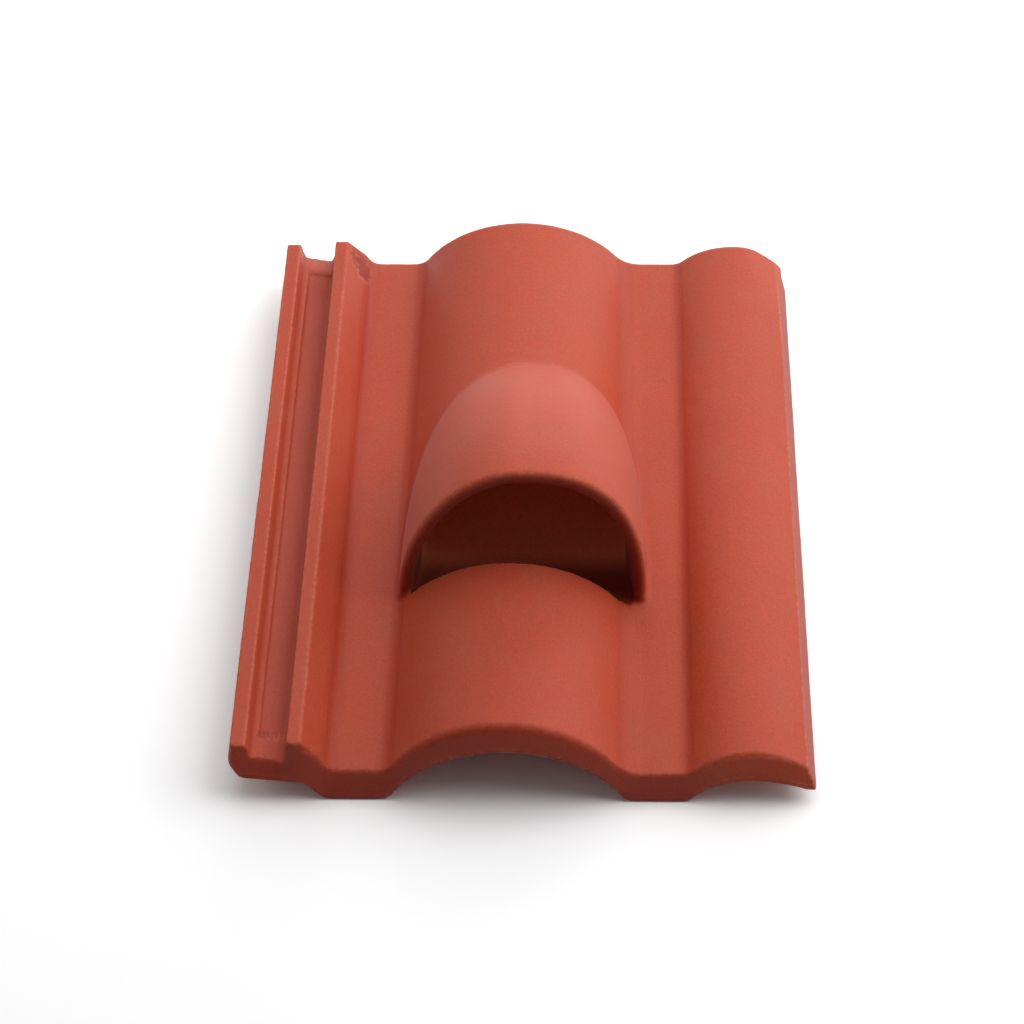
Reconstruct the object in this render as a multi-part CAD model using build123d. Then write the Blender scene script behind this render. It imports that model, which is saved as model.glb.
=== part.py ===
from build123d import *
from math import cos, hypot, pi, radians, sin, sqrt, tan
import os

# Interlocking concrete roof tile with a cast hood that lets an antenna cable
# out through the tile. The tile is one casting, so it is one solid.
# Millimetres. X runs across the tile, Y from the eave end to the head end, Z up.
# The origin is on the resting plane, under the middle of the tile.

# Whole tile
tile_length = 420.0
tile_width = 330.0
eave_face_lean = 6.0       # degrees that the eave face leans back
head_face_lean = 4.0       # degrees that the head face leans in
wall = 11.0                # thickness of pans and rolls behind the nose

# Nose, the thick band along the eave
nose_depth = 18.0          # straight down from the top surface to the resting plane
nose_length = 24.0
nose_back_slope = 20.0     # degrees off upright
nose_edge_radius = 3.0

# Big roll
roll_centre = -8.0         # from the middle of the tile
roll_radius = 75.5
roll_rise = 39.0           # crown above the pans
roll_foot_radius = 8.0

# Small roll along the right edge, which covers the next tile
small_roll_inset = 37.0    # its axis, from the right edge
small_roll_radius = 44.0
small_roll_rise = 16.8
skirt_run = 5.6            # how far the skirt slopes out below the roll
skirt_bottom = 10.5        # height of the skirt's lip over the resting plane
skirt_corner_radius = 4.0
corner_cut_length = 12.0   # the skirt is cut off along this much of the head end
corner_cut_run = 13.0      # and tapers back over this much more

# Water channel along the left edge, which the next tile covers
outer_rib_top = 36.6       # heights are over the resting plane
outer_rib_width = 9.6
outer_rib_run = 3.2        # how far its inner face slopes
channel_high = 28.6        # channel floor beside the outer rib
channel_low = 24.6         # channel floor beside the inner rib
inner_rib_top = 39.4
inner_rib_inset = 33.0     # foot of the inner rib, from the left edge
inner_rib_draft = 1.8
inner_rib_width = 8.2
inner_rib_run = 15.0       # how far its inner face slopes down to the pan
nose_foot_out = 2.8        # the nose's underside starts this much further in
thin_foot_back = 7.5       # and the thin wall's this much further out
channel_thickness = 12.0
underlap_corner_radius = 14.0
rib_edge_radius = 1.2
pan_foot_radius = 5.0

# Gutter sunk in the channel floor, closed at both ends
gutter_depth = 2.6         # below the low side of the channel floor
gutter_inset = 16.5        # its outer edge, from the left edge of the tile
gutter_from_eave = 18.0
gutter_from_head = 12.0

# Shallow knock in the slope of the inner rib, near the head
knock_radius = 14.0
knock_depth = 2.4
knock_from_head = 11.0

# Hood
hood_centre = -1.5         # from the middle of the tile
hood_width = 145.0         # outside, at the level of the pans
hood_height = 106.0        # above the pans
hood_reach = 172.0         # from the mouth to where its form runs out
hood_wall = 12.0
hood_from_eave = 129.0     # foot of the mouth
mouth_lean = 6.0           # degrees that the mouth leans back
mouth_edge_radius = 4.0
mouth_inner_radius = 7.5   # the wall flares out to a thin lip
well_from_eave = 127.0     # the roll is cut away from here back, below the hood
cable_slot_width = 60.0    # opening in the floor of the well, for the cable
cable_slot_length = 36.0
cable_slot_radius = 10.0
cable_slot_from_end = 21.0 # back of the opening, from the far end of the well
hood_roundness = 2.4       # exponent of its arch, 2 for an ellipse
hood_plan_roundness = 2.6  # exponent of its plan
hood_slope_roundness = 2.0 # exponent of its crown line
arch_points = 17           # points that its arch is drawn through
hood_stations = (0.0, 0.2, 0.4, 0.58, 0.73, 0.85, 0.94)  # shares of its reach

# Nibs under the head, which hook on the batten
nib_width = 22.0
nib_thickness = 14.0
nib_from_head = 16.0
nib_edge_radius = 2.0

nearness = 0.01            # what counts as lying in a plane

# Places that follow from the sizes
left_edge = -tile_width / 2
right_edge = tile_width / 2
eave = -tile_length / 2
head = tile_length / 2
pan_level = nose_depth
pan_underside = pan_level - wall
roll_axis_level = pan_level + roll_rise - roll_radius
small_roll_centre = right_edge - small_roll_inset
small_roll_axis_level = pan_level + small_roll_rise - small_roll_radius
corner_x = right_edge - skirt_run
inner_rib_foot = left_edge + inner_rib_inset
inner_rib_left = inner_rib_foot + inner_rib_draft
inner_rib_right = inner_rib_left + inner_rib_width
left_pan_start = inner_rib_right + inner_rib_run
crown_level = pan_level + roll_rise
hood_top = pan_level + hood_height
mouth_foot = eave + hood_from_eave
well_front = eave + well_from_eave
well_back = mouth_foot + hood_reach - hood_wall


def half_chord(radius, axis_level, level):
    """Half the width of a circle at a level, its axis at axis_level."""
    return sqrt(radius ** 2 - (level - axis_level) ** 2)


def arc_height(radius, axis_level, offset):
    """Height of the top of a circle at a sideways offset from its axis."""
    return axis_level + sqrt(radius ** 2 - offset ** 2)


def corners(sketch, points):
    """The sketch's vertices that stand at the given points."""
    return [
        min(sketch.vertices(), key=lambda v: hypot(v.X - x, v.Y - y))
        for x, y in points
    ]


def arc_over(centre, radius, axis_level, start, end):
    """Arc of a circle from the point start to the point end, over its crown."""
    crown = (centre, axis_level + radius)
    return ThreePointArc(start, crown, end)


def tile_section(nose):
    """Cross-section of the tile, closed below by the nose or by the thin wall."""
    half_foot = half_chord(roll_radius, roll_axis_level, pan_level)
    small_half_foot = half_chord(small_roll_radius, small_roll_axis_level, pan_level)
    roll_left = (roll_centre - half_foot, pan_level)
    roll_right = (roll_centre + half_foot, pan_level)
    small_left = (small_roll_centre - small_half_foot, pan_level)
    corner_level = arc_height(
        small_roll_radius, small_roll_axis_level, corner_x - small_roll_centre
    )
    corner = (corner_x, corner_level)
    lip = (right_edge, skirt_bottom)

    outer_left = (left_edge, outer_rib_top)
    outer_right = (left_edge + outer_rib_width, outer_rib_top)
    channel_left = (outer_right[0] + outer_rib_run, channel_high)
    channel_right = (inner_rib_foot, channel_low)
    inner_left = (inner_rib_left, inner_rib_top)
    inner_right = (inner_rib_right, inner_rib_top)
    pan_start = (left_pan_start, pan_level)

    # The top, from the left edge to the lip of the skirt
    edges = [
        Polyline(outer_left, outer_right, channel_left, channel_right, inner_left),
        Polyline(inner_left, inner_right, pan_start, roll_left),
        arc_over(roll_centre, roll_radius, roll_axis_level, roll_left, roll_right),
        Line(roll_right, small_left),
        arc_over(
            small_roll_centre, small_roll_radius, small_roll_axis_level, small_left, corner
        ),
        Line(corner, lip),
    ]

    # The underside, from the lip back to the left edge
    if nose:
        drop = nose_depth
        under = pan_level - drop
        arch_radius = roll_radius
        arch_level = roll_axis_level - drop
        small_radius = small_roll_radius
        small_level = small_roll_axis_level - drop
        slope_run = inner_rib_run + nose_foot_out
    else:
        under = pan_underside
        arch_radius = roll_radius - wall
        arch_level = roll_axis_level
        small_radius = small_roll_radius - wall
        small_level = small_roll_axis_level
        slope_run = inner_rib_run - thin_foot_back
    arch_half = half_chord(arch_radius, arch_level, under)
    small_half = half_chord(small_radius, small_level, under)
    skirt_half = half_chord(small_radius, small_level, skirt_bottom)
    skirt_inner = (min(small_roll_centre + skirt_half, corner_x), skirt_bottom)
    if nose:
        skirt_inner = (
            corner_x,
            arc_height(small_radius, small_level, corner_x - small_roll_centre),
        )
    underlap_right = (inner_rib_left + inner_rib_width / 2, channel_low - channel_thickness)
    underlap_left = (left_edge, channel_high - channel_thickness)
    slope_foot = (underlap_right[0] + slope_run, under)
    small_foot = (small_roll_centre - small_half, under)
    arch_right = (roll_centre + arch_half, under)
    arch_left = (roll_centre - arch_half, under)
    edges += [
        Line(lip, skirt_inner),
        arc_over(small_roll_centre, small_radius, small_level, skirt_inner, small_foot),
        Line(small_foot, arch_right),
        arc_over(roll_centre, arch_radius, arch_level, arch_right, arch_left),
        Polyline(arch_left, slope_foot, underlap_right, underlap_left, outer_left),
    ]
    section = make_face(edges)

    rounds = (
        (roll_foot_radius, (roll_left, roll_right, small_left)),
        (pan_foot_radius, (pan_start, slope_foot, underlap_right)),
        (underlap_corner_radius, (underlap_left,)),
        (skirt_corner_radius, (corner,)),
        (rib_edge_radius, (outer_left, outer_right, inner_left)),
        (rib_edge_radius * 2, (channel_left, channel_right)),
    )
    for radius, points in rounds:
        section = fillet(corners(section, points), radius)
    return section


def prism_across(points):
    """Block right across the tile with the given outline in Y and Z."""
    outline = Plane.YZ * make_face(Polyline(*points, close=True))
    return extrude(outline, tile_width, both=True)


def carried_along(section):
    """The section carried the whole length of the tile, past both ends."""
    spare = hood_top * tan(radians(max(eave_face_lean, head_face_lean)))
    start = Plane(origin=(0, head + spare, 0), x_dir=(1, 0, 0), z_dir=(0, -1, 0))
    return extrude(start * section, tile_length + 2 * spare)


def end_faces():
    """Space between the two leaning end faces of the tile."""
    eave_shift = hood_top * tan(radians(eave_face_lean))
    head_lean = tan(radians(head_face_lean))
    return prism_across([
        (eave, 0),
        (eave + eave_shift, hood_top),
        (head - (hood_top - pan_underside) * head_lean, hood_top),
        (head + pan_underside * head_lean, 0),
    ])


def nose_space():
    """Space of the nose, between the eave face and its sloping back."""
    eave_shift = hood_top * tan(radians(eave_face_lean))
    back_shift = hood_top * tan(radians(nose_back_slope))
    back = eave + nose_length
    return prism_across([
        (eave, 0), (eave + eave_shift, hood_top), (back + back_shift, hood_top), (back, 0)
    ])


def arch_face(y, half_width, height, floor):
    """Upright face at y: a superellipse arch over the pans, straight down to floor."""
    power = 2 / hood_roundness
    rim = []
    for step in range(arch_points):
        angle = pi * step / (arch_points - 1)
        side = 1 if angle <= pi / 2 else -1
        rim.append((
            hood_centre + side * half_width * abs(cos(angle)) ** power,
            pan_level + height * sin(angle) ** power if 0 < step < arch_points - 1 else pan_level,
        ))
    right_foot = (rim[0][0], floor)
    left_foot = (rim[-1][0], floor)
    face = make_face([
        Line(right_foot, rim[0]),
        Spline(*rim, tangents=((0, 1), (0, -1))),
        Line(rim[-1], left_foot),
        Line(left_foot, right_foot),
    ])
    return Plane(origin=(0, y, 0), x_dir=(1, 0, 0), z_dir=(0, -1, 0)) * face


def hood_form(inset, front, floor):
    """Solid form of the hood, inset from its outside, from front to its far end."""
    half_width = hood_width / 2 - inset
    height = hood_height - inset
    reach = hood_reach - inset
    faces = [arch_face(front, half_width, height, floor)]
    for t in hood_stations:
        narrow = (1 - t ** hood_plan_roundness) ** (1 / hood_plan_roundness)
        low = (1 - t ** hood_slope_roundness) ** (1 / hood_slope_roundness)
        faces.append(arch_face(mouth_foot + reach * t, half_width * narrow, height * low, floor))
    return loft(Sketch() + faces)


def behind_mouth():
    """Space behind the leaning plane of the mouth, above the resting plane."""
    lean = tan(radians(mouth_lean))
    top = 2 * hood_top
    return prism_across([
        (mouth_foot - pan_level * lean, 0),
        (mouth_foot + (top - pan_level) * lean, top),
        (head + top, top),
        (head + top, 0),
    ])


def top_level(x):
    """Height of the tile's top surface right of the water channel, at x."""
    rolls = (
        (roll_centre, roll_radius, roll_axis_level),
        (small_roll_centre, small_roll_radius, small_roll_axis_level),
    )
    for centre, radius, axis_level in rolls:
        if abs(x - centre) < half_chord(radius, axis_level, pan_level):
            return arc_height(radius, axis_level, x - centre)
    return pan_level


def points_along(edge):
    """Start, middle and end of an edge."""
    return edge.position_at(0.0), edge.position_at(0.5), edge.position_at(1.0)


def eave_edges(solid):
    """Top edges of the eave face, from the pans to the right edge."""
    lean = tan(radians(eave_face_lean))
    found = []
    for edge in solid.edges():
        points = points_along(edge)
        on_face = all(abs(p.Y - eave - p.Z * lean) < nearness for p in points)
        on_top = all(p.Z > top_level(p.X) - nose_edge_radius for p in points)
        if on_face and on_top and points[1].X > left_pan_start:
            found.append(edge)
    return found


def mouth_edges(solid):
    """Outer and inner edge of the mouth, the two long edges in its leaning plane."""
    lean = tan(radians(mouth_lean))
    in_plane = [
        edge
        for edge in solid.edges()
        if all(
            abs(p.Y - mouth_foot - (p.Z - pan_level) * lean) < nearness
            for p in points_along(edge)
        )
    ]
    inner, outer = sorted(in_plane, key=lambda edge: edge.length)[-2:]
    return outer, inner


def hood():
    """Walls and roof of the hood, down to the underside of the pans."""
    shell = hood_form(0.0, well_front - wall, pan_underside) & behind_mouth()
    shell -= hood_form(hood_wall, well_front, -wall)
    shell = fillet(mouth_edges(shell)[0], mouth_edge_radius)
    return fillet(mouth_edges(shell)[1], mouth_inner_radius)


def slab(start, length, bottom, height):
    """Block right across the tile, from start on and from bottom up."""
    block = Box(tile_width, length, height, align=(Align.CENTER, Align.MIN, Align.MIN))
    return Pos(0, start, bottom) * block


def well_floor():
    """Floor below the hood, level with the pans."""
    form = hood_form(0.0, well_front - wall, pan_underside)
    return form & slab(well_front - wall, hood_reach + 2 * wall, pan_underside, wall)


def well_wall():
    """Wall across the hollow of the roll, below the front edge of the well."""
    middle = Plane(origin=(roll_centre, 0, roll_axis_level), x_dir=(1, 0, 0), z_dir=(0, 1, 0))
    hollow = extrude(middle * Circle(roll_radius - wall), tile_length, both=True)
    return hollow & slab(well_front - wall, wall, pan_underside, crown_level)


def well():
    """Space inside the hood and below it, down to the level of the pans."""
    inside = hood_form(hood_wall, well_front, -wall)
    return inside & slab(well_front, hood_reach, pan_level, hood_top)


def cable_slot():
    """Space of the rounded opening in the well's floor, kept inside the hood's walls."""
    outline = RectangleRounded(cable_slot_width, cable_slot_length, cable_slot_radius)
    middle = well_back - cable_slot_from_end - cable_slot_length / 2
    cut = extrude(Pos(hood_centre, middle, 0) * outline, crown_level)
    return cut & hood_form(hood_wall, well_front, -wall)


def gutter():
    """Space of the gutter in the channel floor."""
    gutter_left = left_edge + gutter_inset
    start = eave + gutter_from_eave
    length = tile_length - gutter_from_eave - gutter_from_head
    width = inner_rib_foot - gutter_left
    space = Box(
        width, length, channel_high, align=(Align.MIN, Align.MIN, Align.MIN)
    )
    return Pos(gutter_left, start, channel_low - gutter_depth) * space


def corner_cut():
    """Space cut from the skirt at the head corner, where four tiles meet."""
    spare = skirt_run
    outline = make_face(Polyline(
        (corner_x, head + spare),
        (corner_x, head - corner_cut_length),
        (right_edge, head - corner_cut_length - corner_cut_run),
        (right_edge + spare, head - corner_cut_length - corner_cut_run),
        (right_edge + spare, head + spare),
        close=True,
    ))
    return extrude(outline, crown_level)


def nib(centre):
    """Nib under a pan, its middle at the given place across the tile."""
    block = Box(
        nib_width, nib_thickness, pan_underside + wall / 2,
        align=(Align.CENTER, Align.MAX, Align.MIN),
    )
    block = fillet(block.edges().group_by(Axis.Z)[0], nib_edge_radius)
    return Pos(centre, head - nib_from_head, 0) * block


def knock():
    """Ball that scoops the shallow knock out of the inner rib's slope."""
    run = left_pan_start - inner_rib_right
    fall = inner_rib_top - pan_level
    slope = hypot(run, fall)
    out = knock_radius - knock_depth
    return Pos(
        (inner_rib_right + left_pan_start) / 2 + out * fall / slope,
        head - knock_from_head,
        (inner_rib_top + pan_level) / 2 + out * run / slope,
    ) * Sphere(knock_radius)


body = carried_along(tile_section(nose=False)) & end_faces()
nose = carried_along(tile_section(nose=True)) & nose_space()
tile = body + nose
tile = fillet(eave_edges(tile), nose_edge_radius)
tile += hood()
tile += well_floor() + well_wall()
tile -= well()
tile -= cable_slot()
tile -= gutter()
tile -= corner_cut()
tile -= knock()
roll_half = half_chord(roll_radius, roll_axis_level, pan_level)
small_half = half_chord(small_roll_radius, small_roll_axis_level, pan_level)
left_pan_middle = (left_pan_start + roll_centre - roll_half) / 2
right_pan_middle = (roll_centre + roll_half + small_roll_centre - small_half) / 2
tile += nib(left_pan_middle) + nib(right_pan_middle)

os.makedirs("parts", exist_ok=True)
export_step(tile, "parts/roof_tile.step")
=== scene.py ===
"""Looks of a hooded antenna roof tile: one concrete casting on a pale studio floor."""
import logging
import math
from dataclasses import dataclass, replace
from enum import Enum
from functools import reduce

import bpy
import numpy as np
from mathutils import Matrix, Vector


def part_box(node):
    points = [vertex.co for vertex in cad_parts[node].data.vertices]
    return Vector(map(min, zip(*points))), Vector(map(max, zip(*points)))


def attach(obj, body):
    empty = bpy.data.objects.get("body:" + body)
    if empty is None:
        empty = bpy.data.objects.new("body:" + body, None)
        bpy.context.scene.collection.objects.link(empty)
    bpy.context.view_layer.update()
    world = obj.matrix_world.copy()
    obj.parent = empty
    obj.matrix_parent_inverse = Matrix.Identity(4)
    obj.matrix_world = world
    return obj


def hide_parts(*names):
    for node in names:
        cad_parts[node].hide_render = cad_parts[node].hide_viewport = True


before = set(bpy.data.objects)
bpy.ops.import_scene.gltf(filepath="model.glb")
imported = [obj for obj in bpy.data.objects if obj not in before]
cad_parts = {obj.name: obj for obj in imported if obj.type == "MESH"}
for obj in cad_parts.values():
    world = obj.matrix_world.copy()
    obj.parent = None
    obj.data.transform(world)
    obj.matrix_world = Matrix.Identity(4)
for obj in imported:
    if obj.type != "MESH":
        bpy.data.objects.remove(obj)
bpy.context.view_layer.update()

NODE = "roof_tile"
MM = 0.001
LEAST_SLOPE = 0.05  # least gradient, or square of one, that something is divided by
Array = np.ndarray
Span = tuple[float, float]
log = logging.getLogger("roof_tile")


def smooth_step(value: Array, low: float, high: float) -> Array:
    """Ramp from 0 at low to 1 at high, 3t² − 2t³ of the share t between them."""
    share = np.clip((value - low) / (high - low), 0.0, 1.0)
    return share * share * (3.0 - 2.0 * share)


def blend(first: Array | float, second: Array | float, share: Array | float) -> Array:
    """Value between two others: the first at share 0, the second at share 1."""
    return first + (second - first) * share


def joined(first: Array, second: Array, fillet: Array | float) -> Array:
    """Distance to two solids joined with a round fillet.

    The formula is max(r, min(a, b)) less the length of (r − a, r − b), each no less than 0.

    Args:
        first: Signed distance to one solid, in mm, negative inside.
        second: Signed distance to the other.
        fillet: Radius r of the fillet, one number or one for each point.

    Returns:
        Signed distance to the joined solid.
    """
    gap = np.hypot(np.maximum(fillet - first, 0.0), np.maximum(fillet - second, 0.0))
    return np.maximum(fillet, np.minimum(first, second)) - gap


def common(first: Array, second: Array, rounding: Array | float) -> Array:
    """Distance to what two solids share, its edge rounded.

    The formula is min(−r, max(a, b)) plus the length of (a + r, b + r), each no less than 0.

    Args:
        first: Signed distance to one solid, in mm, negative inside.
        second: Signed distance to the other.
        rounding: Radius r of the edge, one number or one for each point.

    Returns:
        Signed distance to the shared solid.
    """
    gap = np.hypot(np.maximum(first + rounding, 0.0), np.maximum(second + rounding, 0.0))
    return np.minimum(-rounding, np.maximum(first, second)) + gap


def without(solid: Array, space: Array, rounding: Array | float) -> Array:
    """Distance to a solid with a space taken out of it, the rim of the space rounded."""
    return common(solid, -space, rounding)


def rounded_box(offsets: tuple[Array, ...], sizes: tuple[float, ...], radius: float) -> Array:
    """Distance to a box with rounded edges, in as many directions as it has sizes.

    With q for each |offset| less half the size plus the radius, it is the length of the
    positive q, plus the greatest q where that is negative, less the radius.

    Args:
        offsets: Distances from the middle of the box along each direction, in mm.
        sizes: Size of the box in each direction.
        radius: Radius of its edges.

    Returns:
        Signed distance, negative inside.
    """
    past = [np.abs(offset) - size / 2 + radius for offset, size in zip(offsets, sizes)]
    outer = np.sqrt(sum(np.maximum(q, 0.0) ** 2 for q in past))
    return outer + np.minimum(reduce(np.maximum, past), 0.0) - radius


@dataclass
class Points:
    """Places in the tile's frame, in mm: three arrays that broadcast together."""

    x: Array
    y: Array
    z: Array

    def moved(self, x: float = 0.0, y: float = 0.0, z: float = 0.0) -> "Points":
        """The same places, moved by the given amounts."""
        return Points(self.x + x, self.y + y, self.z + z)


class ValueNoise:
    """Smooth seeded noise from −1 to 1: random numbers at whole places, eased between them."""

    def __init__(self, seed: int, period: int = 32) -> None:
        """Draws the table of random numbers.

        Args:
            seed: Seed of the draw, so that each run gives the same table.
            period: Number of places after which the noise repeats.
        """
        self.period = period
        self.table = np.random.default_rng(seed).uniform(-1.0, 1.0, (period,) * 3)

    def at(self, points: Points, wavelength: float) -> Array:
        """Noise at the points: the eight numbers round each, weighed by eased shares.

        Args:
            points: Places, in mm.
            wavelength: Spacing of the random numbers, in mm.

        Returns:
            One value for each point.
        """
        lows, shares = [], []
        for values in (points.x, points.y, points.z):
            scaled = np.asarray(values, float) / wavelength
            low = np.floor(scaled)
            share = scaled - low
            lows.append(low.astype(int))
            shares.append(smooth_step(share, 0.0, 1.0))
        total = 0.0
        for corner in np.ndindex(2, 2, 2):
            weight = 1.0
            index = []
            for low, share, step in zip(lows, shares, corner):
                weight = weight * (share if step else 1.0 - share)
                index.append((low + step) % self.period)
            total = total + weight * self.table[tuple(index)]
        return total


@dataclass(frozen=True)
class Circle:
    """Circle in the cross-section that an edge of the outline follows."""

    centre: float
    level: float
    radius: float

    def half_chord(self, level: float) -> float:
        """Half the circle's width at a level: √(r² − h²)."""
        return math.sqrt(self.radius ** 2 - (level - self.level) ** 2)

    def height(self, x: float) -> float:
        """Height of the circle's top at x: its axis level plus √(r² − dx²)."""
        return self.level + math.sqrt(self.radius ** 2 - (x - self.centre) ** 2)


@dataclass(frozen=True)
class Corner:
    """Corner of a cross-section, its rounding, and the circle that the next edge follows."""

    x: float
    z: float
    radius: float = 0.0
    follows: Circle | None = None


@dataclass(frozen=True)
class Edge:
    """Edge of a cross-section from one corner to the next, straight or along a circle."""

    start: Corner
    end: Corner

    def angles(self) -> tuple[float, float]:
        """Angles of both ends about the circle's centre."""
        circle = self.start.follows
        return tuple(
            math.atan2(c.z - circle.level, c.x - circle.centre) for c in (self.start, self.end)
        )

    def length(self) -> float:
        """Length along the edge."""
        if self.start.follows is None:
            return math.hypot(self.end.x - self.start.x, self.end.z - self.start.z)
        first, last = self.angles()
        return abs(last - first) * self.start.follows.radius

    def at(self, distance: Array) -> Array:
        """Points at distances along the edge, as rows of x and z."""
        share = np.atleast_1d(distance) / self.length()
        circle = self.start.follows
        if circle is None:
            x = self.start.x + share * (self.end.x - self.start.x)
            z = self.start.z + share * (self.end.z - self.start.z)
            return np.column_stack([x, z])
        first, last = self.angles()
        angle = first + share * (last - first)
        x = circle.centre + circle.radius * np.cos(angle)
        z = circle.level + circle.radius * np.sin(angle)
        return np.column_stack([x, z])


def rounded_outline(corners: list[Corner], spacing: float = 1.5, steps: int = 7) -> Array:
    """Closed outline through corners, each rounded by an arc.

    An arc of radius r that turns by a starts at P, r·tan(a/2) before its corner, ends at Q as far
    behind it, and is the rational curve ((1−t)²P + 2w·t(1−t)C + t²Q) / ((1−t)² + 2w·t(1−t) + t²)
    with w = cos(a/2) and C where the two edges' tangents at P and Q meet.

    Args:
        corners: Corners in order.
        spacing: Spacing of points along the edges that follow a circle, in mm.
        steps: Points in each rounded corner.

    Returns:
        Points of the outline as rows of x and z.
    """
    count = len(corners)
    edges = [Edge(corner, corners[(i + 1) % count]) for i, corner in enumerate(corners)]
    probe = 0.01
    trims = []
    for i, corner in enumerate(corners):
        before, after = edges[i - 1], edges[i]
        middle = np.array([corner.x, corner.z])
        arriving = middle - before.at(before.length() - probe)[0]
        leaving = after.at(probe)[0] - middle
        cosine = arriving @ leaving / (np.linalg.norm(arriving) * np.linalg.norm(leaving))
        turn = math.acos(float(np.clip(cosine, -1.0, 1.0)))
        trims.append((corner.radius * math.tan(turn / 2), math.cos(turn / 2)))
    pieces = []
    t = np.linspace(0.0, 1.0, steps)[:, None]
    for i, corner in enumerate(corners):
        trim, weight = trims[i]
        before, after = edges[i - 1], edges[i]
        middle = np.array([[corner.x, corner.z]])
        if corner.radius > 0:
            first, last = before.at(before.length() - trim), after.at(trim)
            arriving = (first - before.at(before.length() - trim - probe))[0]
            leaving = (after.at(trim + probe) - last)[0]
            reach = np.linalg.solve(np.stack([arriving, leaving], axis=1), (last - first)[0])
            middle = first + reach[0] * arriving
            shares = (1 - t) ** 2, 2 * weight * t * (1 - t), t ** 2
            curve = shares[0] * first + shares[1] * middle + shares[2] * last
            pieces.append(curve / sum(shares))
        else:
            pieces.append(middle)
        if corner.follows is not None:
            end = after.length() - trims[(i + 1) % count][0]
            between = np.linspace(trim, end, max(3, int((end - trim) / spacing)))[1:-1]
            pieces.append(after.at(between))
    return np.vstack(pieces)


def open_line(corners: list[Corner]) -> Array:
    """Line through the corners, rounded between its two ends, with x rising."""
    ends = [replace(corner, radius=0.0) for corner in (corners[0], corners[-1])]
    line = rounded_outline([ends[0], *corners[1:-1], ends[1]])
    return line[np.argsort(line[:, 0], kind="stable")]


def distance_to_outline(x: Array, z: Array, outline: Array) -> Array:
    """Signed distance to a closed outline, negative inside.

    The least distance to any of its straight pieces, with the sign from how many of them a ray
    towards +x crosses.

    Args:
        x: Places across, in mm, one-dimensional.
        z: Heights, in mm, one-dimensional.
        outline: Points of the outline as rows of x and z.

    Returns:
        One distance for each place.
    """
    start = outline
    along = np.roll(outline, -1, axis=0) - start
    result = np.empty(len(x))
    block = 20000
    for low in range(0, len(x), block):
        px, pz = x[low:low + block, None], z[low:low + block, None]
        dx, dz = px - start[:, 0], pz - start[:, 1]
        share = np.clip((dx * along[:, 0] + dz * along[:, 1]) / (along ** 2).sum(1), 0.0, 1.0)
        nearest = np.hypot(dx - share * along[:, 0], dz - share * along[:, 1]).min(1)
        spans = (dz < 0) != (dz - along[:, 1] < 0)
        rise = np.where(along[:, 1] == 0, 1.0, along[:, 1])
        crossed = spans & (dx < dz / rise * along[:, 0])
        result[low:low + block] = np.where(crossed.sum(1) % 2 == 1, -nearest, nearest)
    return result


class SectionTable:
    """Signed distance to a cross-section, tabled on a fine grid and read between its nodes."""

    def __init__(self, outline: Array, pitch: float = 0.5, margin: float = 9.0) -> None:
        """Fills the table.

        Args:
            outline: Points of the section as rows of x and z, in mm.
            pitch: Spacing of the table, in mm.
            margin: How far the table reaches past the section.
        """
        self.pitch = pitch
        self.low = outline.min(0) - margin
        self.counts = np.ceil((outline.max(0) + margin - self.low) / pitch).astype(int) + 1
        x = self.low[0] + pitch * np.arange(self.counts[0])
        z = self.low[1] + pitch * np.arange(self.counts[1])
        grid_x, grid_z = np.meshgrid(x, z, indexing="ij")
        values = distance_to_outline(grid_x.ravel(), grid_z.ravel(), outline)
        self.values = values.reshape(grid_x.shape)

    def at(self, x: Array, z: Array) -> Array:
        """Distance at places: bilinear inside the table, and further out by how far past it."""
        beyond = 0.0
        lows, shares = [], []
        for axis, values in enumerate((x, z)):
            place = (np.asarray(values, float) - self.low[axis]) / self.pitch
            kept = np.clip(place, 0.0, self.counts[axis] - 1.001)
            beyond = beyond + np.abs(place - kept) * self.pitch
            low = kept.astype(int)
            lows.append(low)
            shares.append(kept - low)
        i, k = lows
        s, t = shares
        table = self.values
        near = table[i, k] * (1 - t) + table[i, k + 1] * t
        far = table[i + 1, k] * (1 - t) + table[i + 1, k + 1] * t
        return near * (1 - s) + far * s + beyond


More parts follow.
